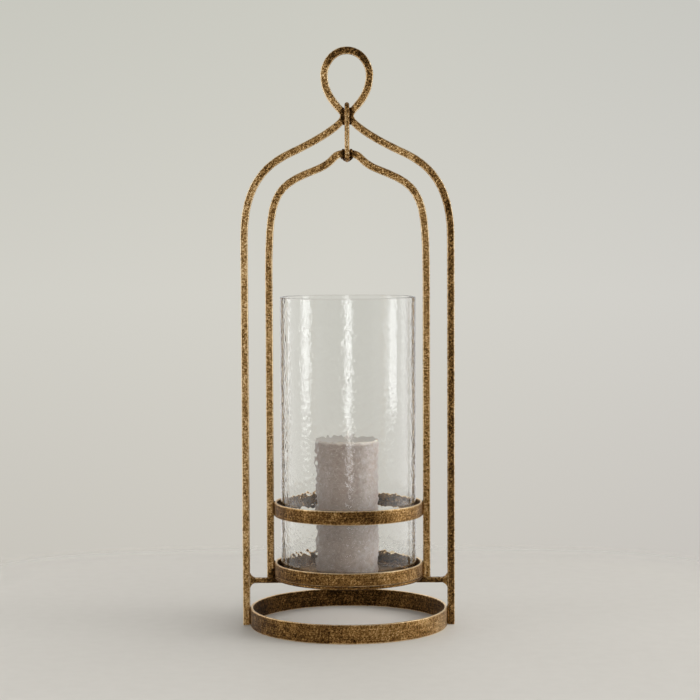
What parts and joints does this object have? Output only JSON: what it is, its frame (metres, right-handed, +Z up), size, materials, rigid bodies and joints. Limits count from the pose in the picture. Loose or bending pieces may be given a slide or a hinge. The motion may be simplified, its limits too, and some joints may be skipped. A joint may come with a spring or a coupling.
{
  "type": "hurricane candle lantern",
  "caption": "Tall free-standing lantern: nested ogee bar frames joined by a link, carrying loop, tray with glass cylinder and pillar candle.",
  "frame": {"origin": "on the floor, at the centre of the lantern's footprint", "axes": "+Z up through the carrying loop, +X along the plane of the frame to the right, front towards -Y"},
  "size_m": [0.2342, 0.2176, 0.6347],
  "materials": {
    "antique_brass": "hammered and pitted, darkened in the hollows, rubbed bright on the edges",
    "clear_glass": "clear, hand-made look with soft ripples",
    "wax": "mauve-taupe candle wax, frosted and faintly mottled",
    "cotton": "braided cotton"
  },
  "bodies": {
    "frame": {"outer_frame": "antique_brass", "inner_frame": "antique_brass", "suspension_link": "antique_brass", "base_ring": "antique_brass", "cross_bar": "antique_brass", "tray_plate": "antique_brass", "tray_rim": "antique_brass", "retaining_ring": "antique_brass"},
    "glass": {"glass_cylinder": "clear_glass"},
    "candle": {"candle": "wax", "wick": "cotton"}
  },
  "joints": [
    {"name": "glass_lift", "type": "slide", "parent": "frame", "child": "glass", "axis": [0, 0, 1], "range_m": [0, 0.09]},
    {"name": "candle_lift", "type": "slide", "parent": "frame", "child": "candle", "axis": [0, 0, 1], "range_m": [0, 0.28]}
  ]
}
